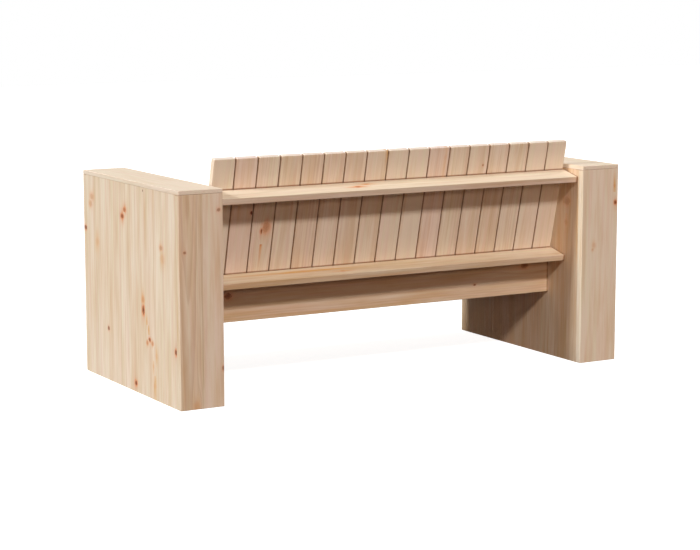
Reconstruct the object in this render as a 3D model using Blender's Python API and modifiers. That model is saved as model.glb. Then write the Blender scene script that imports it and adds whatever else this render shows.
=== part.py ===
"""Garden sofa of plain pine: two hollow box arms, a leaning slatted back and a slatted seat.

Metres, +Z up. The origin is on the floor under the middle of the sofa. The sitter faces -Y, the back
is at +Y, and +X runs along the width. Every board is a solid of its own.
"""
from math import cos, radians, sin

import bmesh
import bpy
from mathutils import Matrix

# Overall sizes
SOFA_WIDTH = 1.490
ARM_DEPTH = 0.666
ARM_HEIGHT = 0.610
ARM_WIDTH = 0.134

# Board thicknesses
ARM_BOARD_THICKNESS = 0.022
CAP_THICKNESS = 0.012
APRON_THICKNESS = 0.022
LEDGER_THICKNESS = 0.022
BEARER_THICKNESS = 0.022
RAIL_THICKNESS = 0.018
BACK_SLAT_THICKNESS = 0.018
SEAT_SLAT_THICKNESS = 0.018

# Board widths
RAIL_WIDTH = 0.070
BACK_SLAT_WIDTH = 0.0665
SEAT_SLAT_WIDTH = 0.0665
APRON_HEIGHT = 0.1207
LEDGER_HEIGHT = 0.045
BEARER_HEIGHT = 0.080

# Backrest
BACK_LEAN = radians(13.5)
BACK_SETBACK = 0.1522        # from the arms' back faces to the slats' back faces, at the lower rail's top
LOWER_RAIL_RISE = 0.0042     # the lower rail's inner top edge above the seat
UPPER_RAIL_DROP = 0.0171     # the upper rail's inner top edge below the arms' tops
BACK_SLAT_HEAD = 0.0922      # slat above the upper rail, along the slat
BACK_SLAT_FOOT = 0.0040      # slat below the lower rail, along the slat

# Seat
SEAT_HEIGHT = 0.340
SEAT_BACK_GAP = 0.004        # from the back slats' feet to the seat slats' ends
FRONT_APRON_SETBACK = 0.034  # from the arms' front faces
SEAT_NOSING = 0.006          # seat slats past the front apron

# Slat rows
SLAT_END_GAP = 0.010         # from an arm to the row's first slat
SLAT_LEAST_GAP = 0.004       # between slats, before the row's spare room is shared out

# Edges and joints
ARRIS = 0.0015               # planed-off edge of every board
CAP_ARRIS = 0.0010
FIT_GAP = 0.0003             # glue line between touching boards

# Pine tones: red, green, blue in linear light
PINE_ARM = (0.64, 0.49, 0.33)
PINE_CAP = (0.70, 0.55, 0.37)
PINE_RAIL = (0.66, 0.50, 0.33)
PINE_SLAT = (0.60, 0.44, 0.29)
PINE_HIDDEN = (0.55, 0.41, 0.27)
PINE_ROUGHNESS = 0.62

# Places that follow from the sizes
HALF_DEPTH = ARM_DEPTH / 2
ARM_CENTRE_X = SOFA_WIDTH / 2 - ARM_WIDTH / 2
ARM_INNER_X = SOFA_WIDTH / 2 - ARM_WIDTH
SPAN = 2 * (ARM_INNER_X - FIT_GAP)
APRON_TOP = SEAT_HEIGHT - SEAT_SLAT_THICKNESS - FIT_GAP
BACK_ORIGIN_Y = HALF_DEPTH - BACK_SETBACK
BACK_ORIGIN_Z = SEAT_HEIGHT + LOWER_RAIL_RISE
RAIL_RISE = (ARM_HEIGHT - UPPER_RAIL_DROP - BACK_ORIGIN_Z) / cos(BACK_LEAN)
FOOT_ALONG = -RAIL_THICKNESS - BACK_SLAT_FOOT
HEAD_ALONG = RAIL_RISE + BACK_SLAT_HEAD
FOOT_FRONT_Y = BACK_ORIGIN_Y + FOOT_ALONG * sin(BACK_LEAN) - BACK_SLAT_THICKNESS * cos(BACK_LEAN)
REAR_APRON_Y = FOOT_FRONT_Y - APRON_THICKNESS / 2
FRONT_APRON_Y = -HALF_DEPTH + FRONT_APRON_SETBACK + APRON_THICKNESS / 2
UNDERSEAT_DEPTH = REAR_APRON_Y - FRONT_APRON_Y - APRON_THICKNESS - 2 * FIT_GAP
UNDERSEAT_Y = (REAR_APRON_Y + FRONT_APRON_Y) / 2


def clear_scene():
    """Remove every object that the open file holds."""
    for old in list(bpy.data.objects):
        bpy.data.objects.remove(old, do_unlink=True)


def add_empty(collection, name, parent=None, location=(0, 0, 0), turn_x=0.0):
    """Add an empty that a group of boards is placed by."""
    empty = bpy.data.objects.new(name, None)
    empty.empty_display_size = 0.1
    empty.location = location
    empty.rotation_euler = (turn_x, 0, 0)
    empty.parent = parent
    collection.objects.link(empty)
    return empty


def pine_material(name, colour):
    """Bare planed pine in one tone."""
    material = bpy.data.materials.new(name + "_pine")
    material.use_nodes = True
    shader = material.node_tree.nodes["Principled BSDF"]
    shader.inputs["Base Color"].default_value = (*colour, 1.0)
    shader.inputs["Roughness"].default_value = PINE_ROUGHNESS
    shader.inputs["Metallic"].default_value = 0.0
    return material


def add_board(collection, name, parent, size, centre, colour, arris=ARRIS):
    """Add one planed board: a block of the given size with its edges taken off."""
    mesh = bpy.data.meshes.new(name)
    block = bmesh.new()
    bmesh.ops.create_cube(block, size=1.0, matrix=Matrix.Diagonal((*size, 1.0)))
    block.to_mesh(mesh)
    block.free()
    mesh.materials.append(pine_material(name, colour))
    board = bpy.data.objects.new(name, mesh)
    board.location = centre
    board.parent = parent
    edges = board.modifiers.new("arris", "BEVEL")
    edges.width = arris
    edges.segments = 1
    edges.limit_method = "NONE"
    collection.objects.link(board)
    return board


def row_centres(slat_width):
    """Centres along X of a row of slats that fills the span between the arms with even gaps."""
    room = 2 * (ARM_INNER_X - SLAT_END_GAP)
    count = int((room + SLAT_LEAST_GAP) // (slat_width + SLAT_LEAST_GAP))
    pitch = (room - slat_width) / (count - 1)
    return [slat_width / 2 - room / 2 + pitch * i for i in range(count)]


def build_arm(collection, parent, side, sign):
    """One hollow arm: two panels held between a front and a back board, under a cap."""
    arm = add_empty(collection, side + "_arm", parent, (sign * ARM_CENTRE_X, 0, 0))
    wall_height = ARM_HEIGHT - CAP_THICKNESS - FIT_GAP
    wall_z = wall_height / 2
    end_size = (ARM_WIDTH, ARM_BOARD_THICKNESS, wall_height)
    end_y = HALF_DEPTH - ARM_BOARD_THICKNESS / 2
    panel_depth = ARM_DEPTH - 2 * ARM_BOARD_THICKNESS - 2 * FIT_GAP
    panel_size = (ARM_BOARD_THICKNESS, panel_depth, wall_height)
    panel_x = sign * (ARM_WIDTH - ARM_BOARD_THICKNESS) / 2
    cap_z = ARM_HEIGHT - CAP_THICKNESS / 2
    add_board(collection, side + "_arm_front_board", arm, end_size, (0, -end_y, wall_z), PINE_ARM)
    add_board(collection, side + "_arm_back_board", arm, end_size, (0, end_y, wall_z), PINE_ARM)
    add_board(collection, side + "_arm_outer_panel", arm, panel_size, (panel_x, 0, wall_z), PINE_ARM)
    add_board(collection, side + "_arm_inner_panel", arm, panel_size, (-panel_x, 0, wall_z), PINE_ARM)
    cap_size = (ARM_WIDTH, ARM_DEPTH, CAP_THICKNESS)
    add_board(collection, side + "_arm_cap", arm, cap_size, (0, 0, cap_z), PINE_CAP, CAP_ARRIS)


def build_backrest(collection, parent):
    """Slats on two rails, all set square to one leaning plane.

    The empty stands where the slats' back faces meet the lower rail's top, with its Z along the slats.
    """
    back = add_empty(collection, "backrest", parent, (0, BACK_ORIGIN_Y, BACK_ORIGIN_Z), -BACK_LEAN)
    rail_size = (SPAN, RAIL_WIDTH - FIT_GAP, RAIL_THICKNESS)
    rail_y = (RAIL_WIDTH + FIT_GAP) / 2
    for name, top in (("lower_back_rail", 0.0), ("upper_back_rail", RAIL_RISE)):
        centre = (0, rail_y, top - RAIL_THICKNESS / 2)
        add_board(collection, name, back, rail_size, centre, PINE_RAIL)
    slat_size = (BACK_SLAT_WIDTH, BACK_SLAT_THICKNESS, HEAD_ALONG - FOOT_ALONG)
    for number, x in enumerate(row_centres(BACK_SLAT_WIDTH), start=1):
        centre = (x, -BACK_SLAT_THICKNESS / 2, (HEAD_ALONG + FOOT_ALONG) / 2)
        add_board(collection, f"back_slat_{number:02d}", back, slat_size, centre, PINE_SLAT)


def build_seat(collection, parent):
    """Seat slats running front to back over two aprons, end ledgers and a middle bearer."""
    seat = add_empty(collection, "seat", parent, (0, 0, APRON_TOP))
    apron_size = (SPAN, APRON_THICKNESS, APRON_HEIGHT)
    for name, y in (("rear_apron", REAR_APRON_Y), ("front_apron", FRONT_APRON_Y)):
        add_board(collection, name, seat, apron_size, (0, y, -APRON_HEIGHT / 2), PINE_RAIL)
    ledger_size = (LEDGER_THICKNESS, UNDERSEAT_DEPTH, LEDGER_HEIGHT)
    ledger_x = ARM_INNER_X - FIT_GAP - LEDGER_THICKNESS / 2
    for side, sign in (("left", 1), ("right", -1)):
        centre = (sign * ledger_x, UNDERSEAT_Y, -LEDGER_HEIGHT / 2)
        add_board(collection, side + "_seat_ledger", seat, ledger_size, centre, PINE_HIDDEN)
    bearer_size = (BEARER_THICKNESS, UNDERSEAT_DEPTH, BEARER_HEIGHT)
    add_board(collection, "middle_seat_bearer", seat, bearer_size,
              (0, UNDERSEAT_Y, -BEARER_HEIGHT / 2), PINE_HIDDEN)
    slat_back = FOOT_FRONT_Y - SEAT_BACK_GAP
    slat_front = FRONT_APRON_Y - APRON_THICKNESS / 2 - SEAT_NOSING
    slat_size = (SEAT_SLAT_WIDTH, slat_back - slat_front, SEAT_SLAT_THICKNESS)
    for number, x in enumerate(row_centres(SEAT_SLAT_WIDTH), start=1):
        centre = (x, (slat_back + slat_front) / 2, FIT_GAP + SEAT_SLAT_THICKNESS / 2)
        add_board(collection, f"seat_slat_{number:02d}", seat, slat_size, centre, PINE_SLAT)


def main():
    """Build the sofa in a collection of its own."""
    clear_scene()
    collection = bpy.data.collections.new("garden_sofa")
    bpy.context.scene.collection.children.link(collection)
    sofa = add_empty(collection, "garden_sofa_origin")
    build_arm(collection, sofa, "left", 1)
    build_arm(collection, sofa, "right", -1)
    build_backrest(collection, sofa)
    build_seat(collection, sofa)
    bpy.context.view_layer.update()


main()
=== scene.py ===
"""Looks of a garden sofa of bare planed pine: its boards, their grain and knots, and the screws.

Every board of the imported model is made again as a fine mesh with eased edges, in the place and at the
size of its node. A board knows the log it was sawn from: each corner of its faces carries its place in
that log, and one pine finish draws growth rings, streaks and knots from that place, so that the figure
runs through from face to edge to end grain.

Metres, +Z up. The sitter faces -Y, the back is at +Y and +X runs along the width.
"""
from __future__ import annotations

import logging
import math
import zlib
from collections.abc import Callable
from dataclasses import dataclass, field
from enum import Enum
from functools import partial
from typing import Any

import bpy
import numpy as np
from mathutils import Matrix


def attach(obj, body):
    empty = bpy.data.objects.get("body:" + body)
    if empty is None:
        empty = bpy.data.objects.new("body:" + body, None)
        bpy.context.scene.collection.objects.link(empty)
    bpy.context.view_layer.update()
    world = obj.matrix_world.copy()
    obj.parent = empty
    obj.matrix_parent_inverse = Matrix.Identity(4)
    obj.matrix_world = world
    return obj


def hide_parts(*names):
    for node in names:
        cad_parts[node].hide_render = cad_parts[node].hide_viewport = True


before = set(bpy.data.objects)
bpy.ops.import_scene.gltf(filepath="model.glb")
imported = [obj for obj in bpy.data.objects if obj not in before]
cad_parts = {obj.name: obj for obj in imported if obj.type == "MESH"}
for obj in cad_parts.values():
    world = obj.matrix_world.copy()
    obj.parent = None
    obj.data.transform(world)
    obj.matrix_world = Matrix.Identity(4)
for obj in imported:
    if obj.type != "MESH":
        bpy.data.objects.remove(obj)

LOG = logging.getLogger("garden_sofa")

Array = np.ndarray
Material = bpy.types.Material
Pair = tuple[float, float]
Socket = bpy.types.NodeSocket
Outputs = bpy.types.bpy_prop_collection
AddNode = Callable[..., Socket]

MM = 0.001
BODY = "root"
BACK_LEAN = math.radians(13.5)

# Mix node for colours: its inputs 0, 6 and 7 are the share and the two colours
COLOUR: dict[str, Any] = {"out": 2, "data_type": "RGBA"}

# Map Range node: its inputs are the value, the range it comes from and the range it goes to
SMOOTH = {"interpolation_type": "SMOOTHSTEP"}
NOISE_RANGE = (0.2, 0.8)

# Grid lines over an eased edge, in radii from the side, and where the flat's even lines start
EDGE_LINES = (0.0, 0.12, 0.3, 0.55, 0.8, 1.0, 1.5)
FLAT_START = 2.2

# Rounder edges at a board's ends: radii from the end where they start and where they are full
END_BLEND = (4, 1)

# Glue lines: grid lines beside them, room that even lines leave them, depth of their grooves
GLUE_HUG = 0.4 * MM
GLUE_ROOM = 3 * GLUE_HUG
GLUE_GROOVE = 0.15 * MM
TOUCH = 1e-6

# Dark joint lines and painted shade: where a glue line's dark line starts, how fast a sharp line of painted
# shade fades, and the painted shadow line under a standing board
GLUE_SHADE = 0.6 * MM
SHARP_RISE = 3
CONTACT_HALF = 4.4 * MM
CONTACT_GRID_MM = (-5.0, 0.0, 5.0)

# Knocks along worn edges: radians in a metre, and the level above which they wear the edge
KNOCK_RATES = (20.0, 45.0, 90.0, 160.0, 260.0)
KNOCK_LEVEL = -0.15

# Logs: slope of the pith, place of a board along its log in metres, and spread of the ring spacing
PITH_SLOPE = 0.009
LOG_PLACE = (1.0, 40.0)
RING_SPREAD = (0.85, 1.2)

# Stray knots: least and most radius in mm, core and reach; and the form where there is no knot
STRAY_KNOT = ((3.0, 7.0), (0.1, 0.9), (2.5, 5.0))
NO_KNOT = (4.0 * MM, 0.0, 3.0)

# Camera at the photograph's viewing angle, from behind and above the left arm
CAMERA_PLACE = (3.0379, 5.2306, 1.2123)
CAMERA_TURN = math.radians(149.98)
CAMERA_TILT = math.radians(8.777)
CAMERA_LENS_MM = 102.97
CAMERA_SENSOR_MM = 36.0


class Slot(Enum):
    """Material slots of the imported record."""

    ARM = "arm_pine"
    RAIL = "rail_pine"
    SLAT = "slat_pine"
    SCREW = "screw_steel"


class Side(Enum):
    """The two arms, as a sitter names them; the value starts the names of their boards."""

    LEFT = "left_arm_"
    RIGHT = "right_arm_"


class Cut(Enum):
    """How a stave was sawn: least and most distance in mm to the pith, across and through the board."""

    FLAT = ((0.0, 14.0), (42.0, 80.0))
    RIFT = ((55.0, 95.0), (45.0, 75.0))
    QUARTER = ((90.0, 160.0), (0.0, 16.0))


class Tone(Enum):
    """Tone of a stave: added golden share, rosy cast, and how strongly its rings show."""

    WHITE = (-0.57, 0.0, 0.3)
    PALE = (-0.44, 0.0, 0.3)
    FAIR = (-0.3, 0.0, 0.5)
    GRAINED = (-0.32, 0.0, 0.7)
    CREAM = (-0.2, 0.0, 0.5)
    BARE = (-0.25, 0.0, 0.2)
    PLAIN = (-0.15, 0.2, 0.6)
    QUIET = (-0.08, 0.0, 0.6)
    LINED = (-0.22, 0.1, 0.75)
    STRIPED = (-0.1, 0.2, 1.0)
    STRAW = (-0.45, -0.3, 0.6)
    GILT = (0.0, -0.5, 0.7)
    HONEY = (0.0, 0.0, 1.2)
    ROSE = (-0.22, 0.8, 0.2)
    RUDDY = (-0.26, 1.0, 0.7)
    AMBER = (0.3, 0.2, 0.8)
    TAN = (0.48, 0.7, 0.7)


class Edge(Enum):
    """A side of a board that meets another board: the board's own axis and the sign along it."""

    LOW_EDGE = (0, -1)
    HIGH_EDGE = (0, 1)
    LOW_FACE = (1, -1)
    LOW_END = (2, -1)
    HIGH_END = (2, 1)


@dataclass(frozen=True)
class Knot:
    """A branch's mark in a board.

    Attributes:
        across: place across the board, in mm from its low edge.
        along: place along the board, in mm from its low end.
        radius: radius of the branch in mm.
        core: how dark the branch wood is, from 0 for a blush of resin to 1 for a dead knot.
        reach: how many radii the blush runs along the grain.
        wide: how wide the mark is for its length.
        blush: how strong the blush is.
    """

    across: float
    along: float
    radius: float
    core: float = 0.8
    reach: float = 3.5
    wide: float = 0.7
    blush: float = 0.5


Knots = tuple[Knot, ...]


@dataclass
class Mesh:
    """A surface as whole arrays: points (n, 3), quads (m, 4) and corner attributes (4 m, 3)."""

    points: Array
    quads: Array
    corners: dict[str, Array] = field(default_factory=dict)


def linear(hex_colour: str) -> tuple[float, float, float, float]:
    """Turn an sRGB hex colour into linear light.

    Args:
        hex_colour: a colour such as "#e8d6be".

    Returns:
        Red, green, blue and an alpha of 1.
    """
    srgb = np.array([int(hex_colour[i:i + 2], 16) for i in (1, 3, 5)]) / 255
    light = np.where(srgb <= 0.04045, srgb / 12.92, ((srgb + 0.055) / 1.055) ** 2.4)
    return (*(float(v) for v in light), 1.0)


def add_node(tree: bpy.types.NodeTree, kind: str, inputs: dict[Any, Any] | tuple[Any, ...] = (),
             out: int | str = 0, **settings: Any) -> Socket | None:
    """Add a node with its settings, and link or set its inputs.

    Args:
        tree: the node tree.
        kind: the node's type without its ShaderNode prefix, and after a colon its operation, if any.
        inputs: values or other nodes' outputs, in the sockets' order or by a socket's name or index.
        out: the output that is wanted.
        settings: the node's own properties.

    Returns:
        The wanted output, or None for a node that ends the tree.
    """
    kind, _, operation = kind.partition(":")
    made = tree.nodes.new("ShaderNode" + kind)
    if operation:
        made.operation = operation
    for name, value in settings.items():
        setattr(made, name, value)
    for key, value in inputs.items() if isinstance(inputs, dict) else enumerate(inputs):
        if isinstance(value, Socket):
            tree.links.new(value, made.inputs[key])
        else:
            made.inputs[key].default_value = value
    return made.outputs[out] if made.outputs else None


def new_material(name: str) -> tuple[Material, AddNode]:
    """Make an empty material, and the function that adds nodes to it."""
    made = bpy.data.materials.new(name)
    made.use_nodes = True
    made.node_tree.nodes.clear()
    return made, partial(add_node, made.node_tree)


def node_object(name: str, mesh: Mesh, material: Material, smooth: bool = True) -> bpy.types.Object:
    """Put a surface into a mesh object at the origin, with its corner attributes.

    Args:
        name: the object's name.
        mesh: the surface's arrays.
        material: the finish.
        smooth: whether its faces are shaded smooth.

    Returns:
        The linked object.
    """
    data = bpy.data.meshes.new(name)
    count = len(mesh.quads)
    data.vertices.add(len(mesh.points))
    data.vertices.foreach_set("co", mesh.points.astype(np.float32).ravel())
    data.loops.add(4 * count)
    data.loops.foreach_set("vertex_index", mesh.quads.astype(np.int32).ravel())
    data.polygons.add(count)
    data.polygons.foreach_set("loop_start", np.arange(0, 4 * count, 4, dtype=np.int32))
    data.polygons.foreach_set("use_smooth", np.full(count, smooth))
    for key, values in mesh.corners.items():
        layer = data.attributes.new(key, "FLOAT_VECTOR", "CORNER")
        layer.data.foreach_set("vector", values.astype(np.float32).ravel())
    data.materials.append(material)
    data.update(calc_edges=True)
    made = bpy.data.objects.new(name, data)
    bpy.context.scene.collection.objects.link(made)
    return made


@dataclass
class PinePoint:
    """What the pine reads at a point of a board.

    Attributes:
        log: the place in the log.
        stock: ring spacing, distance to a joint, which sets dark joint lines and painted shade, and how
            white the ends are, for sawn fuzz and a painted highlight.
        tone: golden share, rosy cast and strength of the rings.
        knot: the place across and along from the nearest knot, with its blush between them.
        form: the knot's radius, core and reach.
        spot: the place from the knot, in its radii.
    """

    log: Socket
    stock: Outputs
    tone: Outputs
    knot: Outputs
    form: Outputs
    spot: Socket


@dataclass(frozen=True)
class PlanedPine:
    """Bare pine from the planer, not oiled or painted.

    It is a pale, matt wood. Its cream spring wood drifts to a golden tone in broad streaks along the log,
    a thin line of tan summer wood closes each ring, resin ducts are short brown dashes, and red-brown
    knots sit in an orange blush that runs along the grain, which flows round them.

    Attributes:
        summer_rise, summer_end: shares of a ring where its summer wood darkens, and where it ends.
        wander_rate, year_rate: how often in a metre the pith wanders, and lean and fat years change.
        cast_range, own_cast: ends of the cast, straw at 0 and rose at 1, and weight of a stave's own.
        duct_level, resin_level: levels of noise where ducts and resin start and where they are full.
        fibre_light, branch_light: least and most light of the fibres, and share of a branch's rings.
        resin_depth, halo_depth: least and most depth; the halo's grows with the knot's core.
        rosy_rise: how fast the resin turns to the orange of the halo as the core grows.
        bow, halo_fade, branch_fade, heart_fade, resin_wide, waver: reach of a knot's parts, in radii.
        branch_rings: radians of a branch's own rings over its radius.
        joint_and_shade_mm: distances from a joint where its dark line and painted shade are full and where
            they end.
        crevice_shade_mm: the same for the painted shade deep in a gap or under a standing board.
        summer_relief: height of the summer wood over that of the fibres.
        drift_mm to waver_mm: size of a pattern's cells, across and along the grain.
    """

    pale: str = "#eddec9"
    golden: str = "#d8b88f"
    summer: str = "#b58a66"
    straw: str = "#fbfffb"
    rose: str = "#fff7fd"
    duct: str = "#b98c62"
    # End grain is whitened for its sawn fuzz and as a painted highlight on the lit tops of the slats.
    sawn_fuzz_and_highlight: str = "#f3eae0"
    # joint_and_shade: the dark joint line, and painted shade at joints and on the walls of gaps;
    # crevice_shade: painted shade deep in gaps and under standing boards.
    joint_and_shade: str = "#9c602c"
    crevice_shade: str = "#6e4422"
    resin: str = "#dba862"
    blush: str = "#dc9264"
    knot: str = "#8a4a24"
    heart: str = "#642a10"
    golden_share: float = 0.4
    drift_swing: float = 0.9
    streak_swing: float = 0.6
    ring_depth: float = 0.3
    faint_ring: float = 0.4
    summer_rise: Pair = (0.25, 0.9)
    summer_end: Pair = (0.92, 1.0)
    wander_rate: tuple[float, float, float] = (7.0, 7.0, 1.3)
    wander_mm: float = 22.0
    year_rate: float = 70.0
    year_swing: float = 2.4
    cast_range: Pair = (-0.1, 1.1)
    own_cast: float = 0.5
    duct_level: Pair = (0.68, 0.8)
    duct_depth: float = 0.4
    fibre_light: Pair = (0.97, 1.03)
    resin_level: Pair = (0.3, 0.65)
    resin_depth: Pair = (0.4, 1.2)
    resin_wide: float = 1.5
    rosy_rise: float = 2.0
    waver: float = 0.6
    bow: Pair = (2.1, 5.0)
    halo_fade: Pair = (0.8, 2.0)
    branch_fade: Pair = (0.7, 1.15)
    heart_fade: Pair = (0.1, 0.85)
    halo_depth: Pair = (0.25, 1.7)
    branch_rings: float = 17.0
    branch_light: Pair = (0.7, 1.0)
    joint_and_shade_depth: float = 0.58
    crevice_shade_depth: float = 0.5
    joint_and_shade_mm: Pair = (-3.0, 1.1)
    crevice_shade_mm: Pair = (-9.0, -4.0)
    roughness: Pair = (0.52, 0.68)
    gloss: float = 0.2
    relief_mm: float = 0.2
    summer_relief: float = 0.5
    drift_mm: Pair = (34.0, 360.0)
    streak_mm: Pair = (10.0, 230.0)
    cast_mm: Pair = (13.0, 500.0)
    fibre_mm: Pair = (1.6, 70.0)
    duct_mm: Pair = (1.3, 16.0)
    stain_mm: Pair = (6.0, 70.0)
    waver_mm: Pair = (5.0, 9.0)

    def material(self) -> Material:
        """Build the finish.

        Returns:
            A material that reads what a PinePoint holds from the boards' corner attributes.
        """
        made, node = new_material("bare_planed_pine")
        log, *rest = (node("Attribute", out="Vector", attribute_name=name)
                      for name in ("log", "stock", "tone", "knot", "form"))
        stock, tone, knot, form = (node("SeparateXYZ", (vector,)).node.outputs for vector in rest)
        x, z = (node("Math:DIVIDE", (knot[i], form[0])) for i in (0, 2))
        at = PinePoint(log, stock, tone, knot, form, node("CombineXYZ", {0: x, 2: z}))
        summer = self._rings(node, at)
        fibre = self._grain(node, log, self.fibre_mm)
        colour = self._knots(node, at, self._clear_wood(node, at, summer, fibre))
        rough = node("MapRange", {0: fibre, 3: self.roughness[0], 4: self.roughness[1]})
        relief = node("Math:MULTIPLY_ADD", (summer, self.summer_relief, fibre))
        bump = node("Bump", {"Height": relief, "Strength": 0.5, "Distance": self.relief_mm * MM})
        surface = node("BsdfPrincipled", {"Base Color": colour, "Roughness": rough, "Normal": bump,
                                          "Specular IOR Level": self.gloss})
        node("OutputMaterial", {"Surface": surface})
        return made

    @staticmethod
    def _grain(node: AddNode, place: Socket, cell_mm: Pair) -> Socket:
        """Noise drawn out along the grain.

        Args:
            node: adds a node.
            place: the place in the log.
            cell_mm: size of the noise's cells, across and along the grain.

        Returns:
            The noise, about 0.5.
        """
        across, along = (1 / (size * MM) for size in cell_mm)
        drawn = node("VectorMath:MULTIPLY", (place, (across, across, along)))
        return node("TexNoise", {"Vector": drawn, "Scale": 1.0, "Detail": 3.0, "Roughness": 0.65})

    @staticmethod
    def _bell(node: AddNode, spot: Socket, wide: float, long: Socket | float) -> Socket:
        """Bell curve round a knot, exp(-(x / wide)^2 - (z / long)^2).

        Args:
            node: adds a node.
            spot: the place x, z from the knot, in its radii.
            wide: the bell's width.
            long: the bell's length.

        Returns:
            The bell, 1 on the knot.
        """
        size = node("CombineXYZ", (wide, 1.0, long))
        flat = node("VectorMath:DIVIDE", (spot, size))
        square = node("VectorMath:DOT_PRODUCT", (flat, flat), out="Value")
        fall = node("Math:MULTIPLY", (square, -1.0))
        return node("Math:EXPONENT", (fall,))

    def _rings(self, node: AddNode, at: PinePoint) -> Socket:
        """Summer wood of the growth rings.

        A ring's phase is the distance from the pith over the ring spacing, and lean and fat years follow
        each other. The pith wanders along the log, and near a knot the place is drawn towards it, so that
        the rings bow out round it. In each ring the summer wood grows slowly darker and ends sharply.

        Args:
            node: adds a node.
            at: what the pine reads.

        Returns:
            The share of summer wood, 0 to 1.
        """
        slow = node("VectorMath:MULTIPLY", (at.log, self.wander_rate))
        wander = node("TexNoise", {"Vector": slow, "Scale": 1.0, "Detail": 2.0}, out="Color")
        offset = node("VectorMath:SUBTRACT", (wander, (0.5, 0.5, 0.5)))
        swing = (self.wander_mm * MM, self.wander_mm * MM, 0.0)
        shifted = node("VectorMath:MULTIPLY_ADD", (offset, swing, at.log))
        place = node("SeparateXYZ", (shifted,)).node.outputs
        drawn = node("Math:MULTIPLY", (self._bell(node, at.spot, *self.bow), at.knot[0]))
        across = node("Math:SUBTRACT", (place[0], drawn))
        flat = node("CombineXYZ", (across, place[1]))
        reach = node("VectorMath:LENGTH", (flat,), out="Value")
        years = node("TexNoise", {"W": reach, "Scale": self.year_rate, "Detail": 1.0},
                     noise_dimensions="1D")
        steady = node("Math:DIVIDE", (reach, at.stock[0]))
        phase = node("Math:MULTIPLY_ADD", (years, self.year_swing, steady))
        part = node("Math:FRACT", (phase,))
        year = node("Math:FLOOR", (phase,))
        luck = node("TexWhiteNoise", {"W": year}, noise_dimensions="1D")
        rise = node("MapRange", (part, *self.summer_rise), **SMOOTH)
        fall = node("MapRange", (part, *self.summer_end, 1.0, 0.0))
        band = node("Math:MULTIPLY", (rise, fall))
        strength = node("MapRange", {0: luck, 3: self.faint_ring, 4: 1.0})
        return node("Math:MULTIPLY", (band, strength))

    def _clear_wood(self, node: AddNode, at: PinePoint, summer: Socket, fibre: Socket) -> Socket:
        """Colour of wood with no knots.

        The golden share drifts across the log in broad and narrow streaks about the stave's own tone. End
        grain is whitened, for the fuzz of sawn fibres and as a painted highlight on the slats' lit tops.
        Rings of summer wood lie over it, a cast that wanders from straw to rose tints it, and ducts and
        fibres mark it. At joints a dark line and painted shade turn it brown, and painted shade deep in
        gaps turns it near black.

        Args:
            node: adds a node.
            at: what the pine reads.
            summer: the share of summer wood.
            fibre: noise of the fibres.

        Returns:
            The colour.
        """
        drift, streak = (
            node("MapRange", {0: self._grain(node, at.log, cell), 3: -swing, 4: swing})
            for cell, swing in ((self.drift_mm, self.drift_swing), (self.streak_mm, self.streak_swing)))
        share = node("Math:ADD", (drift, streak))
        share = node("Math:ADD", (share, at.tone[0]))
        share = node("Math:ADD", (share, self.golden_share), use_clamp=True)
        wood = node("Mix", {0: share, 6: linear(self.pale), 7: linear(self.golden)}, **COLOUR)
        ring = node("Math:MULTIPLY", (summer, at.tone[2]))
        ring = node("Math:MULTIPLY", (ring, self.ring_depth), use_clamp=True)
        cast = self._grain(node, at.log, self.cast_mm)
        cast = node("MapRange", (cast, *NOISE_RANGE, *self.cast_range))
        cast = node("Math:MULTIPLY_ADD", (at.tone[1], self.own_cast, cast), use_clamp=True)
        tint = node("Mix", {0: cast, 6: linear(self.straw), 7: linear(self.rose)}, **COLOUR)
        dash = self._grain(node, at.log, self.duct_mm)
        dash = node("MapRange", (dash, *self.duct_level, 0.0, self.duct_depth))
        level = node("MapRange", (fibre, *NOISE_RANGE, *self.fibre_light))
        # Painted shade: brown at joints, over the real dark joint line, and near black deep in gaps and
        # under standing boards.
        near, deep = (
            node("MapRange", (at.stock[1], full * MM, none * MM, depth, 0.0))
            for (full, none), depth in ((self.joint_and_shade_mm, self.joint_and_shade_depth),
                                        (self.crevice_shade_mm, self.crevice_shade_depth)))
        layers = (
            (at.stock[2], linear(self.sawn_fuzz_and_highlight), "MIX"), (ring, linear(self.summer), "MIX"),
            (1.0, tint, "MULTIPLY"), (dash, linear(self.duct), "MIX"), (1.0, level, "MULTIPLY"),
            (near, linear(self.joint_and_shade), "MIX"), (deep, linear(self.crevice_shade), "MIX"))
        for amount, colour, blend in layers:
            wood = node("Mix", {0: amount, 6: wood, 7: colour}, **COLOUR, blend_type=blend)
        return wood

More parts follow.
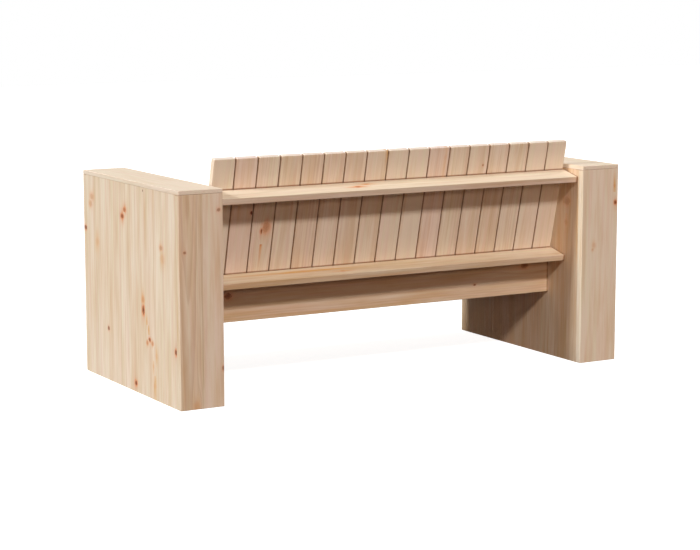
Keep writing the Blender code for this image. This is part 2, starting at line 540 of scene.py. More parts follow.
    def _knots(self, node: AddNode, at: PinePoint, wood: Socket) -> Socket:
        """Lay the knots over the clear wood.

        A knot is round in the places that the boards give, with a wavering edge. From outside inwards lie
        the resin along the grain, the orange halo, the branch with its own fine rings, and its dark heart.

        Args:
            node: adds a node.
            at: what the pine reads.
            wood: colour of the clear wood.

        Returns:
            The colour.
        """
        blush, core = at.knot[1], at.form[1]
        patch = self._grain(node, at.log, self.stain_mm)
        patch = node("MapRange", (patch, *self.resin_level, *self.resin_depth))
        patch = node("Math:MULTIPLY", (patch, blush))
        tail = node("Math:MULTIPLY", (self._bell(node, at.spot, self.resin_wide, at.form[2]), patch))
        rosy = node("Math:MULTIPLY", (core, self.rosy_rise), use_clamp=True)
        stain = node("Mix", {0: rosy, 6: linear(self.resin), 7: linear(self.blush)}, **COLOUR)
        away = node("VectorMath:LENGTH", (at.spot,), out="Value")
        waver = self._grain(node, at.log, self.waver_mm)
        waver = node("MapRange", {0: waver, 3: -self.waver, 4: self.waver})
        away = node("Math:ADD", (away, waver))
        halo, branch, heart = (
            node("MapRange", (away, full, none, 1.0, 0.0), **SMOOTH)
            for full, none in (self.halo_fade, self.branch_fade, self.heart_fade))
        depth = node("MapRange", {0: core, 3: self.halo_depth[0], 4: self.halo_depth[1]})
        depth = node("Math:MULTIPLY", (depth, blush), use_clamp=True)
        halo = node("Math:MULTIPLY", (halo, depth))
        wave = node("Math:SINE", (node("Math:MULTIPLY", (away, self.branch_rings)),))
        wave = node("MapRange", (wave, -1.0, 1.0, *self.branch_light))
        branch = node("Math:MULTIPLY", (branch, core))
        branch = node("Math:MULTIPLY", (branch, wave))
        dark = node("Math:POWER", (core, 2.0))
        heart = node("Math:MULTIPLY", (heart, dark))
        layers = ((tail, stain), (halo, linear(self.blush)), (branch, linear(self.knot)),
                  (heart, linear(self.heart)))
        for amount, colour in layers:
            wood = node("Mix", {0: amount, 6: wood, 7: colour}, **COLOUR)
        return wood


@dataclass(frozen=True)
class ZincScrew:
    """Yellow zinc-plated steel of wood screws: a thin passivated coat that shifts from straw to grey."""

    straw: str = "#c9b274"
    grey: str = "#a9a594"
    roughness: Pair = (0.24, 0.46)
    patch_mm: float = 3.0

    def material(self) -> Material:
        """Build the finish, with the coat's drift on Object coordinates."""
        made, node = new_material("yellow_zinc_steel")
        place = node("TexCoord", out="Object")
        drift = node("TexNoise", {"Vector": place, "Scale": 1 / (self.patch_mm * MM), "Detail": 2.0})
        colour = node("Mix", {0: drift, 6: linear(self.straw), 7: linear(self.grey)}, **COLOUR)
        rough = node("MapRange", {0: drift, 3: self.roughness[0], 4: self.roughness[1]})
        surface = node("BsdfPrincipled", {"Base Color": colour, "Metallic": 1.0, "Roughness": rough})
        node("OutputMaterial", {"Surface": surface})
        return made


def seen_ray(node: AddNode) -> Socket:
    """Tell the rays that see a surface from those that only carry its light.

    Args:
        node: adds a node.

    Returns:
        1 where the ray comes from the camera, a gloss or a clear body, and 0 elsewhere.
    """
    path = node("LightPath").node.outputs
    first = node("Math:MAXIMUM", (path["Is Camera Ray"], path["Is Glossy Ray"]))
    return node("Math:MAXIMUM", (first, path["Is Transmission Ray"]))


@dataclass(frozen=True)
class StudioFloor:
    """Pale studio floor: white paper that keeps a faint shadow of the sofa."""

    paper: str = "#dcdcdc"
    bounce: str = "#4a2c1e"
    lift: float = 0.85

    def material(self) -> Material:
        """Build the finish: the paper is lifted towards white where the camera sees it."""
        made, node = new_material("white_studio_paper")
        seen = seen_ray(node)
        colour = node("Mix", {0: seen, 6: linear(self.bounce), 7: linear(self.paper)}, **COLOUR)
        matt = node("BsdfDiffuse", {"Color": colour})
        glow = node("Math:MULTIPLY", (seen, self.lift))
        light = node("Emission", {"Strength": glow})
        node("OutputMaterial", {"Surface": node("AddShader", (matt, light))})
        return made


def grid_lines(half: float, arris: float, step: float, seams: Array) -> Array:
    """Places of a board's grid lines along one of its axes, from -half to half.

    They are even over the flat, bunch in both eased edges and hug each glue line on its two sides.

    Args:
        half: half the board's size along the axis.
        arris: widest radius of the eased edges.
        step: distance between lines on the flat.
        seams: places of glue lines.

    Returns:
        Rising places.
    """
    eased = half - arris * np.array(EDGE_LINES)
    inner = half - FLAT_START * arris
    even = np.linspace(-inner, inner, max(2, int(round(2 * inner / step)) + 1))
    glued = np.add.outer(seams, (-GLUE_HUG, 0.0, GLUE_HUG)).ravel()
    if len(glued):
        even = even[np.abs(even[:, None] - glued[None, :]).min(axis=1) > GLUE_ROOM]
    return np.unique(np.round(np.concatenate([-eased, eased, even, glued]), 7))


def block_surface(lines: list[Array]) -> tuple[Array, Array, Array]:
    """Closed surface of a block whose six sides are grids on the given lines.

    The block's lattice points on its skin are numbered once, so sides share the points on their edges.

    Args:
        lines: grid lines along the block's three axes.

    Returns:
        Points (n, 3), quads (m, 4) facing outwards, and the axis that each quad faces along (m,).
    """
    counts = [len(line) for line in lines]
    quads, axes = [], []
    for axis in range(3):
        u, v = (axis + 1) % 3, (axis + 2) % 3
        iu, iv = np.meshgrid(np.arange(counts[u] - 1), np.arange(counts[v] - 1), indexing="ij")
        for end, order in ((counts[axis] - 1, (0, 1, 2, 3)), (0, (3, 2, 1, 0))):
            corner = []
            for du, dv in ((0, 0), (1, 0), (1, 1), (0, 1)):
                place = [None, None, None]
                place[axis] = np.full(iu.size, end)
                place[u] = (iu + du).ravel()
                place[v] = (iv + dv).ravel()
                corner.append(np.ravel_multi_index(tuple(place), counts))
            quads.append(np.stack([corner[i] for i in order], axis=1))
            axes.append(np.full(iu.size, axis))
    quads = np.concatenate(quads)
    used, index = np.unique(quads, return_inverse=True)
    place = np.unravel_index(used, counts)
    points = np.stack([lines[i][place[i]] for i in range(3)], axis=1)
    return points, index.reshape(quads.shape), np.concatenate(axes)


def own_box(node: str, turn: Array) -> tuple[Array, Array]:
    """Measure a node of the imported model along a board's own axes.

    Args:
        node: the node's name.
        turn: the three axes as columns, in world directions.

    Returns:
        Its lowest and its highest corner.
    """
    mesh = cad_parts[node].data
    flat = np.empty(3 * len(mesh.vertices), dtype=np.float32)
    mesh.vertices.foreach_get("co", flat)
    own = flat.reshape(-1, 3).astype(float) @ turn
    return own.min(axis=0), own.max(axis=0)


@dataclass
class Board:
    """One planed board, in the place of its node.

    Its own axes are across its face, through its thickness and along its grain.

    Attributes:
        turn: its axes as columns, in world directions.
        tones: tone of each stave; one for a board of one piece.
        seams: glue lines between staves, in mm from the low edge.
        rings_mm: growth ring spacing. Most boards that the photograph shows have 5.5 mm and more, which is
            coarser than real rings, because finer lines break into a false pattern at its size.
        arris_mm: radius of the eased edges on the low and high side of its thickness.
        joined: sides along which it meets another board or faces one over a gap; painted shade lies there
            and deepens into the gap.
        contacts: places along it, in mm from its low end, where a board stands on its high face, with a
            painted shadow line.
        end_shade_mm: width of the dark joint line and painted shade round its ends, where it butts against
            other boards.
        end_mm: radius of the edges at its two ends, where they are rounder than the others.
        stray: how many further small knots it may hold.
        fuzz_and_highlight: how white its ends are, for sawn fuzz and as a painted highlight on lit tops.
        edge_tone: golden share and rosy cast that its edges have over its faces, as they cut more rings.
        half, middle: half its size and its middle, along its own axes.
        glue: places of its glue lines from its middle.
        rng: its chances, which start from its name.
    """

    node: str
    turn: Array
    slot: Slot
    tones: tuple[Tone, ...] = (Tone.LINED,)
    seams: tuple[float, ...] = ()
    cut: Cut = Cut.FLAT
    rings_mm: float = 3.6
    knots: Knots = ()
    arris_mm: Pair = (1.5, 1.5)
    joined: tuple[Edge, ...] = ()
    contacts: tuple[float, ...] = ()
    end_shade_mm: float = 0.0
    end_mm: float = 0.0
    stray: int = 0
    fuzz_and_highlight: float = 0.1
    edge_tone: Pair = (0.0, 0.0)
    step: float = 0.014
    wear_mm: float = 0.2
    half: Array = field(init=False)
    middle: Array = field(init=False)
    glue: Array = field(init=False)
    rng: np.random.Generator = field(init=False)

    def __post_init__(self) -> None:
        """Measure the node and start the chances."""
        low, high = own_box(self.node, self.turn)
        self.half, self.middle = (high - low) / 2, (high + low) / 2
        self.glue = np.array(self.seams) * MM - self.half[0]
        self.rng = np.random.default_rng(zlib.crc32(self.node.encode()))

    @property
    def widest(self) -> float:
        """Widest radius of the eased edges, in metres."""
        return max(*self.arris_mm, self.end_mm) * MM

    def build(self, material: Material) -> None:
        """Make the board, set it in its node's place and give it its finish.

        Args:
            material: the pine.
        """
        contacts = np.add.outer(self.contacts, CONTACT_GRID_MM).ravel() * MM - self.half[2]
        lines = [grid_lines(self.half[axis], self.widest, self.step, places)
                 for axis, places in enumerate((self.glue, np.empty(0), contacts))]
        raw, quads, axes = block_surface(lines)
        if np.linalg.det(self.turn) < 0:
            quads = quads[:, ::-1]
        points = self._ease(raw)
        corners = self._corner_values(points[quads], axes)
        world = (points + self.middle) @ self.turn.T
        made = node_object("pine_" + self.node, Mesh(world, quads, corners), material)
        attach(made, BODY)
        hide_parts(self.node)
        LOG.info("%s: %d quads, %d knots", made.name, len(quads), len(self.knots) + self.stray)

    def _ease(self, raw: Array) -> Array:
        """Round the block's edges and wear them a little.

        A point p on the block is drawn to core + r * unit(p - core), with core = p held inside the block
        less r on every side, which leaves the flats alone. Towards the ends r grows smoothly to that of
        the end edges. Along an edge the unit vector d has two parts, and the edge is worn by
        wear * 4 (dx^2 dy^2 + dy^2 dz^2 + dz^2 dx^2) * n, with n a sum of sines. Glue lines are hairline
        grooves in the two faces.

        Args:
            raw: points of the sharp block (n, 3).

        Returns:
            The eased points.
        """
        half, end = self.half, self.widest
        radius = np.where(raw[:, 1] < 0, self.arris_mm[0], self.arris_mm[1])[:, None] * MM
        start, full = END_BLEND
        tip = np.clip((np.abs(raw[:, 2:]) - half[2] + start * end) / ((start - full) * end), 0, 1)
        radius = radius + (end - radius) * tip ** 2 * (3 - 2 * tip)
        core = np.clip(raw, -(half - radius), half - radius)
        out = raw - core
        unit = out / np.linalg.norm(out, axis=1, keepdims=True)
        eased = core + radius * unit
        count = len(KNOCK_RATES)
        waves = self.rng.uniform(-1, 1, (3, count)) * np.array(KNOCK_RATES)
        knocks = np.sin(eased @ waves + self.rng.uniform(0, 2 * np.pi, count)).mean(axis=1)
        square = unit ** 2
        edge = 4 * (square * np.roll(square, 1, axis=1)).sum(axis=1)
        eased -= unit * (edge * np.clip(knocks - KNOCK_LEVEL, 0, None) * self.wear_mm * MM)[:, None]
        for seam in self.glue:
            on_seam = np.isclose(raw[:, 0], seam, atol=TOUCH) & (np.abs(raw[:, 1]) > half[1] - TOUCH)
            eased[on_seam, 1] -= np.sign(raw[on_seam, 1]) * GLUE_GROOVE
        return eased

    def _corner_values(self, place: Array, axes: Array) -> dict[str, Array]:
        """Work out the pine's attributes at every face corner.

        The log's pith lies beside or below the stave, as its cut says, and runs at a slight slope to it,
        so a point's place in the log is its place on the board less the pith's, plus the slope times the
        distance along.

        Args:
            place: places of the faces' corners (m, 4, 3).
            axes: the axis that each face looks along (m,).

        Returns:
            Attribute name to values, one row for each corner.
        """
        stave = np.searchsorted(self.glue, place[:, :, 0].mean(axis=1))
        count = len(self.glue) + 1
        bounds = np.array([-self.half[0], *self.glue, self.half[0]])
        middles = (bounds[1:] + bounds[:-1]) / 2
        beside, below = self.cut.value
        sides = self.rng.choice([-1.0, 1.0], (count, 2))
        pith_x = middles + sides[:, 0] * self.rng.uniform(*beside, count) * MM
        pith_y = sides[:, 1] * self.rng.uniform(*below, count) * MM
        slope = self.rng.normal(0.0, PITH_SLOPE, (count, 2))
        pith = np.stack([pith_x, pith_y, -self.rng.uniform(*LOG_PLACE, count)], axis=1)
        slope = np.pad(slope, ((0, 0), (0, 1)))
        log = place - pith[stave][:, None, :] + slope[stave][:, None, :] * place[:, :, 2:]
        spacing = self.rings_mm * MM * self.rng.uniform(*RING_SPREAD, count)
        # Ends are whitened by the board's share: sawn fuzz, and on the back slats a painted highlight on
        # their lit tops.
        ends = self.fuzz_and_highlight * (axes == 2)
        stock = np.broadcast_arrays(spacing[stave][:, None], self._joint_and_shade_gap(place), ends[:, None])
        tones = np.array([self.tones[i % len(self.tones)].value for i in range(count)])
        tones = tones[stave] + (axes == 0)[:, None] * np.array([*self.edge_tone, 0.0])
        tone = np.broadcast_to(tones[:, None, :], place.shape)
        knot, form = self._knot_values(place, stave)
        values = {"log": log, "stock": np.stack(stock, axis=2), "tone": tone, "knot": knot, "form": form}
        return {key: value.reshape(-1, 3) for key, value in values.items()}

    def _joint_and_shade_gap(self, place: Array) -> Array:
        """Distance to the nearest joint, which sets the dark joint lines and the painted shade.

        On a side that meets another board it goes below 0, to minus the depth behind the nearer face or
        end, so that painted shade deepens into a gap. A glue line starts above 0, so its dark line shows
        less. A painted shadow line under a standing board, and the dark line with painted shade round an
        end, start well below 0 and rise faster, so they are dark and sharp.

        Args:
            place: places of the faces' corners (m, 4, 3).

        Returns:
            The distance at every corner (m, 4), in metres.
        """
        half = self.half
        depth = half[1] - np.abs(place[:, :, 1])
        inside = np.minimum(depth, half[2] - np.abs(place[:, :, 2]))
        gaps = [np.ones(place.shape[:2])]
        gaps += [np.abs(place[:, :, 0] - seam) + GLUE_SHADE for seam in self.glue]
        # Painted shade on a side that meets another board, deepening into a gap.
        for axis, sign in (edge.value for edge in self.joined):
            gaps.append(half[axis] - sign * place[:, :, axis] - (inside, 0.0, depth)[axis])
        # Painted shadow line where a standing board meets this one's high face.
        for contact in self.contacts:
            line = SHARP_RISE * (np.abs(place[:, :, 2] - contact * MM + half[2]) - CONTACT_HALF)
            gaps.append(np.where(place[:, :, 1] > 0, line, 1.0))
        # Dark joint line and painted shade round the ends.
        if self.end_shade_mm:
            gaps.append(SHARP_RISE * (half[2] - np.abs(place[:, :, 2]) - self.end_shade_mm * MM))
        return np.min(gaps, axis=0)

    def _knot_values(self, place: Array, stave: Array) -> tuple[Array, Array]:
        """Place from the nearest knot of the same stave, and the knot's form.

        A face takes one knot for all its corners, the one whose distance is least in knot radii, drawn
        out by the root of its reach along the grain, so the place runs evenly over the face.

        Args:
            place: places of the faces' corners (m, 4, 3).
            stave: the stave that each face lies in (m,).

        Returns:
            The place with the knot's blush in its middle, and the form, at every corner.
        """
        half, rng = self.half, self.rng
        strays = [Knot(rng.uniform(0, 2 * half[0]) / MM, rng.uniform(0, 2 * half[2]) / MM,
                       *(rng.uniform(*ends) for ends in STRAY_KNOT))
                  for _ in range(self.stray)]
        knots = [*self.knots, *strays]
        knot = np.ones(place.shape)
        form = np.broadcast_to(np.array(NO_KNOT), place.shape).copy()
        if not knots:
            return knot, form
        spots = np.array([(k.across * MM - half[0], 0.0, k.along * MM - half[2]) for k in knots])
        forms = np.array([(k.radius * MM, k.core, k.reach) for k in knots])
        wides = np.array([(k.wide, 1.0, 1.0) for k in knots])
        homes = np.searchsorted(self.glue, spots[:, 0])
        away = (place.mean(axis=1)[:, None, :] - spots) / wides / forms[:, :1] / np.stack(
            [np.ones(len(knots)), np.full(len(knots), np.inf), np.sqrt(forms[:, 2])], axis=1)
        gap = np.where(homes[None, :] == stave[:, None], np.linalg.norm(away, axis=2), np.inf)
        nearest = gap.argmin(axis=1)
        has = np.isfinite(gap.min(axis=1))
        knot[has] = (place[has] - spots[nearest[has]][:, None, :]) / wides[nearest[has]][:, None, :]
        knot[has, :, 1] = np.array([k.blush for k in knots])[nearest[has]][:, None]
        form[has] = forms[nearest[has]][:, None, :]
        return knot, form


# Axes of each kind of board in world directions: across, through and along it
X, Y, Z = np.eye(3)
LEAN_OUT = math.cos(BACK_LEAN) * Y - math.sin(BACK_LEAN) * Z
LEAN_UP = math.sin(BACK_LEAN) * Y + math.cos(BACK_LEAN) * Z
PANEL_AXES = np.stack([Y, X, Z], axis=1)
END_BOARD_AXES = np.stack([X, Y, Z], axis=1)
CAP_AXES = np.stack([X, Z, Y], axis=1)
APRON_AXES = np.stack([Z, Y, X], axis=1)
LEDGER_AXES = np.stack([Z, X, Y], axis=1)
RAIL_AXES = np.stack([LEAN_OUT, LEAN_UP, X], axis=1)
BACK_SLAT_AXES = np.stack([X, LEAN_OUT, LEAN_UP], axis=1)
SEAT_SLAT_AXES = CAP_AXES


def row_of(prefix: str) -> list[str]:
    """Nodes of a row of slats, from the right arm to the left."""
    return sorted(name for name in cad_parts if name.startswith(prefix))


class Assembly:
    """A group of boards that are made together."""

    def boards(self) -> list[Board]:
        """The group's boards."""
        raise NotImplementedError

    def build(self, pine: Material) -> None:
        """Make every board in pine."""
        for board in self.boards():
            board.build(pine)


@dataclass
class BoxArm(Assembly):
    """A hollow arm: two edge-glued panels between a front and a back board, under a thin cap.

    Attributes:
        side: which arm it is.
        outer_knots to front_knots: knots in its boards.
        outer_stray, inner_stray: further small knots in its panels.
        back_tones, front_tone: tones of the back board's staves and of the front board.
        flush_mm, proud_mm, cap_mm: radius of edges flush with a board, of free edges, and under the cap.
    """

    side: Side
    outer_knots: Knots = ()
    inner_knots: Knots = ()
    back_knots: Knots = ()
    front_knots: Knots = ()
    outer_stray: int = 0
    inner_stray: int = 0
    back_tones: tuple[Tone, ...] = (Tone.QUIET,)
    front_tone: Tone = Tone.QUIET
    panel_seams: tuple[float, ...] = (162.0, 413.0)
    back_seams: tuple[float, ...] = ()
    flush_mm: float = 0.4
    proud_mm: float = 1.2
    cap_mm: float = 0.8

    def boards(self) -> list[Board]:
        """The arm's five boards, with their staves and knots."""
        name = self.side.value
        flush = (self.flush_mm, self.flush_mm)
        panel = {"turn": PANEL_AXES, "slot": Slot.ARM, "arris_mm": flush, "rings_mm": 8.0,
                 "joined": (Edge.LOW_EDGE, Edge.HIGH_EDGE, Edge.HIGH_END), "seams": self.panel_seams}
        ends = {"turn": END_BOARD_AXES, "slot": Slot.ARM, "rings_mm": 5.5, "joined": (Edge.HIGH_END,)}
        return [
            Board(name + "outer_panel", tones=(Tone.CREAM, Tone.QUIET, Tone.QUIET), knots=self.outer_knots,
                  stray=self.outer_stray, **panel),
            # Inner panels take darker, redder tones than the outer ones: the wood's own tone with painted
            # shade for the warm shadow inside the arms.
            Board(name + "inner_panel", tones=(Tone.TAN, Tone.TAN, Tone.AMBER), knots=self.inner_knots,
                  stray=self.inner_stray, **panel),
            Board(name + "front_board", tones=(self.front_tone,), arris_mm=(self.proud_mm, self.flush_mm),
                  knots=self.front_knots, stray=2, **ends),
            Board(name + "back_board", tones=self.back_tones, seams=self.back_seams, knots=self.back_knots,
                  arris_mm=(self.flush_mm, self.proud_mm), **ends),
            Board(name + "cap", CAP_AXES, Slot.ARM, tones=(Tone.PALE,), rings_mm=3.8,
                  arris_mm=(self.cap_mm, self.proud_mm), joined=(Edge.LOW_FACE,)),
        ]


@dataclass
class Backrest(Assembly):
    """Leaning slats on two rails that stand square to them."""

    slat_tones: tuple[Tone, ...] = (
        Tone.WHITE, Tone.PALE, Tone.GRAINED, Tone.PLAIN, Tone.CREAM, Tone.GRAINED, Tone.RUDDY, Tone.WHITE,
        Tone.PALE, Tone.FAIR, Tone.LINED, Tone.LINED, Tone.STRIPED, Tone.CREAM, Tone.LINED, Tone.ROSE,
        Tone.PALE)
    slat_knots: dict[int, Knots] = field(default_factory=lambda: {
        5: (Knot(15, 307, 3.6, 0.6, 3, 0.8, 0.25),),
        7: (Knot(12, 340, 5, 0, 26),),
        10: (Knot(3, 395, 5, 0, 16, 0.8, 1.1),),
        15: (Knot(34, 147, 7, 0.85, 4, 0.8, 0.45), Knot(22, 158, 15, 0.35, 2.2, 0.75, 0.6),
             Knot(33, 108, 4.5, 0.3, 11, 0.55, 1)),
        16: (Knot(3, 205, 6, 1, 2.5, 0.7, 0.15),),
    })
    rail_tones: dict[str, Tone] = field(default_factory=lambda: {
        "upper_back_rail": Tone.STRAW, "lower_back_rail": Tone.GILT})
    rail_knots: dict[str, Knots] = field(default_factory=lambda: {
        "upper_back_rail": (Knot(38, 760, 8, 0.4, 4, 0.6, 1), Knot(22, 722, 6, 0.2, 5, 0.7, 1)),
        "lower_back_rail": (Knot(24, 900, 5, 0, 36, 1, 1), Knot(44, 780, 6, 0.1, 6, 0.7, 0.8)),
    })

    def boards(self) -> list[Board]:
        """The rails and slats, with their tones and knots."""
        cuts = (Cut.RIFT, Cut.FLAT, Cut.QUARTER)
        butted = (Edge.LOW_EDGE, Edge.LOW_END, Edge.HIGH_END)
        made = [Board(name, RAIL_AXES, Slot.RAIL, tones=(self.rail_tones[name],), knots=knots, rings_mm=5.5,
                      arris_mm=(1.0, 1.0), joined=butted, end_shade_mm=5.0, edge_tone=(0.25, 0.6))
                for name, knots in self.rail_knots.items()]
        slats = row_of("back_slat_")
        foot = own_box(slats[0], BACK_SLAT_AXES)[0][2]
        # Where the rails stand on the slats, which is where a painted shadow line is drawn on them.
        tops = tuple((own_box(name, BACK_SLAT_AXES)[1][2] - foot) / MM for name in self.rail_knots)
        for index, name in enumerate(slats):
            tone = self.slat_tones[index % len(self.slat_tones)]
            beside = (Edge.LOW_EDGE,) * (index > 0) + (Edge.HIGH_EDGE,) * (index < len(slats) - 1)
            # The slats' ends are whitened almost fully: sawn fuzz and a painted highlight on their lit
            # tops.
            made.append(Board(name, BACK_SLAT_AXES, Slot.SLAT, tones=(tone,), cut=cuts[index % len(cuts)],
                              knots=self.slat_knots.get(index + 1, ()), rings_mm=10.0, arris_mm=(1.1, 1.1),
                              joined=beside, contacts=tops, fuzz_and_highlight=0.95, end_mm=3.2))
        return made


@dataclass
class Seat(Assembly):
    """Seat slats over two aprons, two ledgers and a bearer.

    Attributes:
        tone_step, cut_step, knot_step: steps from slat to slat in tone, cut and count of small knots.
        knot_counts: how many different counts of small knots there are, from none up.
    """

    apron_knots: dict[str, Knots] = field(default_factory=lambda: {
        "rear_apron": (Knot(77, 1122, 12, 0.8, 2.5, 0.8, 0.25), Knot(89, 89, 15, 0.5, 3, 0.7, 0.2),
                       Knot(42, 275, 5, 0.8, 3, 0.7, 0.2)),
        "front_apron": (Knot(48, 330, 7, 0.8, 3), Knot(84, 905, 9, 0.5, 3)),
    })
    tone_step: int = 3
    cut_step: int = 2
    knot_step: int = 5
    knot_counts: int = 3

    def boards(self) -> list[Board]:
        """The seat's boards; tones, cuts and knots change from slat to slat in steps."""
        made = [Board(name, APRON_AXES, Slot.RAIL, tones=(Tone.AMBER,), knots=knots, rings_mm=7.0,
                      joined=(Edge.LOW_END, Edge.HIGH_END), end_shade_mm=4.0)
                for name, knots in self.apron_knots.items()]
        for name in ("left_seat_ledger", "right_seat_ledger", "middle_seat_bearer"):
            made.append(Board(name, LEDGER_AXES, Slot.RAIL, stray=1))
        tones = tuple(Tone)
        cuts = tuple(Cut)
        for index, name in enumerate(row_of("seat_slat_")):
            tone = tones[(self.tone_step * index + 1) % len(tones)]
            cut = cuts[self.cut_step * index % len(cuts)]
            stray = self.knot_step * index % self.knot_counts
            made.append(Board(name, SEAT_SLAT_AXES, Slot.SLAT, tones=(tone,), cut=cut, rings_mm=3.3,
                              stray=stray, arris_mm=(1.4, 1.4)))
        return made


@dataclass
class ScrewRow:
    """Countersunk cross-head wood screws, four to a slat, set where the slats cross what carries them.

    Attributes:
        turn: the slats' own axes; the heads look along the slats' thickness.
        facing: 1 or -1, the side of the slats that the heads are on.
        along: places of the screws along the slats, in metres.
        inset_mm: distance of the screws from the slats' edges.
        profile_mm: radius and height of a head's rings, from its middle to under its rim.
        recess_mm, hub_mm, depth_mm: radius of the cross and of its hub, and its depth.
        spin: turn of each screw from the one before, in radians.
    """

    name: str
    slats: list[str]
    turn: Array
    facing: float
    along: Pair
    inset_mm: float = 16.0
    profile_mm: tuple[Pair, ...] = (
        (0.15, 0.25), (0.9, 0.25), (1.7, 0.25), (2.4, 0.25),
        (3.2, 0.25), (3.8, 0.2), (4.0, 0.05), (4.0, -0.6))
    recess_mm: float = 2.4
    hub_mm: float = 1.0
    depth_mm: float = 1.3
    sides: int = 16
    spin: float = 2.4

    def places(self) -> Array:
        """Set two screws on each slat at each place along it.

        Returns:
            Middles of the heads (n, 3) in the slats' own axes.
        """
        boxes = np.array([own_box(name, self.turn) for name in self.slats])
        inset = self.inset_mm * MM
        across = np.stack([boxes[:, 0, 0] + inset, boxes[:, 1, 0] - inset], axis=1)
        face = boxes[:, 1, 1] if self.facing > 0 else boxes[:, 0, 1]
        x = np.repeat(across.ravel(), len(self.along))
        y = np.repeat(face, 2 * len(self.along))
        z = np.tile(np.array(self.along), across.size)
        return np.stack([x, y, z], axis=1)

    def build(self, steel: Material) -> None:
        """Make all the heads as one piece.

        A head is a disc of rings: its height falls at the rim, and inside the recess it dips on the four
        arms of the cross, by depth * (1 - r / recess) where the angle lies on an arm.

        Args:
            steel: the finish.
        """
        radii, rise = np.array(self.profile_mm).T * MM
        turn = np.arange(self.sides) * 2 * np.pi / self.sides
        r, a = np.meshgrid(radii, turn, indexing="ij")
        cross = (np.arange(self.sides) % (self.sides // 4) == 0)[None, :] | (r < self.hub_mm * MM)
        deep = cross * self.depth_mm * MM * np.clip(1 - r / (self.recess_mm * MM), 0, 1)
        head = np.stack([r * np.cos(a), (rise[:, None] - deep) * self.facing, r * np.sin(a)], axis=2)
        rings, sides = r.shape
        i, j = np.meshgrid(np.arange(rings - 1), np.arange(sides), indexing="ij")
        k = (j + 1) % sides
        quads = np.stack([i * sides + j, i * sides + k, (i + 1) * sides + k, (i + 1) * sides + j], axis=2)
        quads = quads.reshape(-1, 4)
        if self.facing * np.linalg.det(self.turn) < 0:
            quads = quads[:, ::-1]
        places = self.places()
        spins = (np.arange(len(places)) * self.spin)[:, None]
        flat = head.reshape(-1, 3)
        x = flat[:, 0] * np.cos(spins) - flat[:, 2] * np.sin(spins)
        z = flat[:, 0] * np.sin(spins) + flat[:, 2] * np.cos(spins)
        turned = np.stack([x, np.broadcast_to(flat[:, 1], x.shape), z], axis=2)
        points = (turned + places[:, None, :]).reshape(-1, 3) @ self.turn.T
        shift = (np.arange(len(places)) * len(flat))[:, None, None]
        made = node_object(self.name, Mesh(points, (quads + shift).reshape(-1, 4)), steel)
        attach(made, BODY)
        LOG.info("%s: %d screws", made.name, len(places))


def screw_rows() -> list[ScrewRow]:
    """Set out all the screws that show, over the middles of the rails and aprons that they go into.

    Returns:
        The rows on the back slats' front faces and on the seat slats' tops.
    """
    rails = [own_box(name, BACK_SLAT_AXES) for name in ("lower_back_rail", "upper_back_rail")]
    heights = tuple((low[2] + high[2]) / 2 for low, high in rails)
    seat_slats = row_of("seat_slat_")
    rear_low, _ = own_box("rear_apron", SEAT_SLAT_AXES)
    front_low, front_high = own_box("front_apron", SEAT_SLAT_AXES)
    _, slat_high = own_box(seat_slats[0], SEAT_SLAT_AXES)
    depths = ((rear_low[2] + slat_high[2]) / 2, (front_low[2] + front_high[2]) / 2)
    return [ScrewRow("back_slat_screws", row_of("back_slat_"), BACK_SLAT_AXES, -1.0, heights),
            ScrewRow("seat_slat_screws", seat_slats, SEAT_SLAT_AXES, 1.0, depths)]


@dataclass(frozen=True)
class Lamp:
    """A soft lamp so far off that its light is parallel.

    Attributes:
        name: the lamp's name.
        azimuth: direction towards it in degrees, 0 on the left arm's side and 90 behind the sofa.
        elevation: its height over the horizon in degrees.
        level: light on a card that faces it; at 1 a white card shows white.
        size: how wide it is seen, in degrees, which softens the shadows.
        colour: its tint.
    """

    name: str
    azimuth: float
    elevation: float
    level: float
    size: float
    colour: str

    def build(self) -> None:
        """Add the lamp."""
        data = bpy.data.lights.new(self.name, "SUN")
        data.energy = self.level * math.pi
        data.angle = math.radians(self.size)
        data.color = linear(self.colour)[:3]
        lamp = bpy.data.objects.new(self.name, data)
        lamp.rotation_euler = (0.0, math.radians(90 - self.elevation), math.radians(self.azimuth))
        bpy.context.scene.collection.objects.link(lamp)


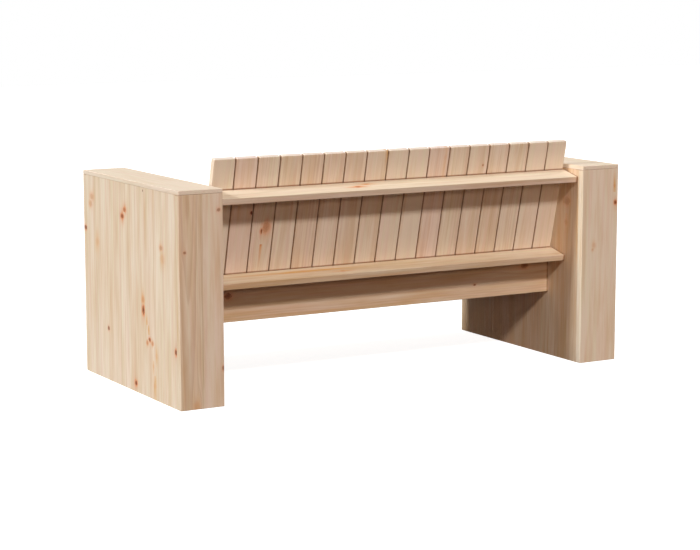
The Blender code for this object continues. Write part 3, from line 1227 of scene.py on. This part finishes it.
@dataclass
class Studio:
    """Camera, lamps, sky and floor.

    Attributes:
        zenith_height: height of a direction, from 0 to 1, where the sky takes its zenith's colour.
        floor_half, floor_drop: half the floor's width, and how far it lies under the arms, in metres.
    """

    lamps: tuple[Lamp, ...] = (
        Lamp("side_lamp", 0.5, 26.0, 0.775, 5.0, "#f2f8f8"),
        Lamp("key_lamp", 69.0, 36.8, 0.605, 6.5, "#fdf6f1"),
        Lamp("fill_lamp", 72.0, 15.5, 0.108, 7.0, "#ffdcc6"),
        Lamp("front_lamp", -90.0, 16.0, 0.28, 8.0, "#ffffff"))
    zenith: str = "#85827a"
    horizon: str = "#5a483c"
    zenith_height: float = 0.8
    floor_half: float = 14.0
    floor_drop: float = 0.0006
    floor_lines: int = 9

    def build(self) -> None:
        """Set up the whole studio."""
        self._camera()
        for lamp in self.lamps:
            lamp.build()
        self._sky()
        self._floor()
        bpy.context.scene.view_settings.view_transform = "Standard"

    def _camera(self) -> None:
        """Set the camera at the photograph's angle; the image is taken as 700 by 550."""
        data = bpy.data.cameras.new("photo_camera")
        data.lens = CAMERA_LENS_MM
        data.sensor_width = CAMERA_SENSOR_MM
        data.clip_end = 100.0
        camera = bpy.data.objects.new("photo_camera", data)
        camera.location = CAMERA_PLACE
        camera.rotation_euler = (math.pi / 2 - CAMERA_TILT, 0.0, CAMERA_TURN)
        bpy.context.scene.collection.objects.link(camera)
        bpy.context.scene.camera = camera

    def _sky(self) -> None:
        """White where it is seen, and as light a dim grey that is warmer towards the horizon."""
        world = bpy.data.worlds.new("studio_sky")
        world.use_nodes = True
        world.node_tree.nodes.clear()
        node = partial(add_node, world.node_tree)
        height = node("SeparateXYZ", (node("TexCoord", out="Generated"),), out="Z")
        height = node("MapRange", (height, 0.0, self.zenith_height))
        light = node("Mix", {0: height, 6: linear(self.horizon), 7: linear(self.zenith)}, **COLOUR)
        colour = node("Mix", {0: seen_ray(node), 6: light, 7: (1.0, 1.0, 1.0, 1.0)}, **COLOUR)
        node("OutputWorld", {"Surface": node("Background", {"Color": colour})})
        bpy.context.scene.world = world

    def _floor(self) -> None:
        """Lay the paper floor just under the arms, as a stage."""
        half, count = self.floor_half, self.floor_lines
        ticks = np.linspace(-half, half, count)
        x, y = np.meshgrid(ticks, ticks, indexing="ij")
        points = np.stack([x, y, np.full(x.shape, -self.floor_drop)], axis=2).reshape(-1, 3)
        i, j = np.meshgrid(np.arange(count - 1), np.arange(count - 1), indexing="ij")
        corner = (i * count + j).ravel()
        quads = np.stack([corner, corner + count, corner + count + 1, corner + 1], axis=1)
        node_object("studio_floor", Mesh(points, quads), StudioFloor().material(), smooth=False)


def main() -> None:
    logging.basicConfig(level=logging.INFO, format="%(name)s: %(message)s")
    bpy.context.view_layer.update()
    pine = PlanedPine().material()
    steel = ZincScrew().material()
    left_arm = BoxArm(
        Side.LEFT,
        outer_knots=(
            Knot(263, 501, 6.5, 0.75, 3.4, 1.4, 0.9), Knot(280, 521, 6, 0.4, 3, 1.5, 0.9),
            Knot(402, 247, 12, 0.95, 3, 0.65, 0.8), Knot(400, 277, 8, 0.15, 3, 1, 0.9),
            Knot(424, 218, 2.5, 0, 8, 1.2, 1.2), Knot(437, 194, 2.5, 0, 8, 1.2, 1.2),
            Knot(443, 168, 5, 0.85, 2, 1.4, 0.6), Knot(426, 157, 5, 0.2, 2.2, 1.2, 0.9),
            Knot(461, 160, 5, 0.2, 2.2, 1.2, 0.9), Knot(488, 128, 6, 0, 5, 1.2, 0.6),
            Knot(466, 96, 4, 0, 8, 1.2, 0.7), Knot(474, 40, 5, 0, 9, 1.4, 0.9),
            Knot(151, 156, 7, 0.85, 2, 1, 0.2), Knot(617, 160, 8.5, 0.95, 2.4, 0.8, 0.5),
            Knot(343, 26, 7, 0.95, 2.2, 1.1, 0.7), Knot(527, 440, 7, 0.3, 2.2, 1.4, 0.4),
            Knot(535, 410, 9, 0.05, 3, 1.2, 0.5), Knot(41, 535, 9, 0.15, 2, 1.4, 0.5),
            Knot(31, 514, 8, 0.15, 2, 1.4, 0.5), Knot(76, 405, 9, 0.05, 3.5, 1.2, 0.5),
            Knot(409, 589, 4, 0.8, 3, 0.8, 0)),
        back_knots=(Knot(117, 440, 4.5, 0.6, 2.5, 1, 0.2), Knot(13, 552, 5, 0.5, 2.5, 1.2, 0.2),
                    Knot(84, 8, 11, 0.05, 2.5), Knot(2, 109, 7, 0.6, 2, 0.6, 0.3)),
        front_knots=(Knot(133, 438, 6.5, 0.7, 2, 1, 0.4),),
        inner_stray=4,
        back_tones=(Tone.PLAIN, Tone.HONEY),
        back_seams=(62.0,))
    right_arm = BoxArm(
        Side.RIGHT,
        inner_knots=(Knot(563, 496, 13, 0.3, 2.2, 1.3, 0.25), Knot(560, 430, 8, 0.12, 6, 1, 0.4)),
        back_knots=(Knot(9, 493, 6.5, 0.95, 3.5, 0.8, 0.5), Knot(13, 545, 4, 0.05, 9, 0.8, 1.1),
                    Knot(88, 364, 6, 0.05, 2.5, 1, 0.4), Knot(92, 352, 4, 0.1, 2, 1, 0.4)),
        outer_stray=6,
        back_tones=(Tone.BARE,),
        front_tone=Tone.AMBER)
    for part in (left_arm, right_arm, Backrest(), Seat()):
        part.build(pine)
    for row in screw_rows():
        row.build(steel)
    Studio().build()


if __name__ == "__main__":
    main()
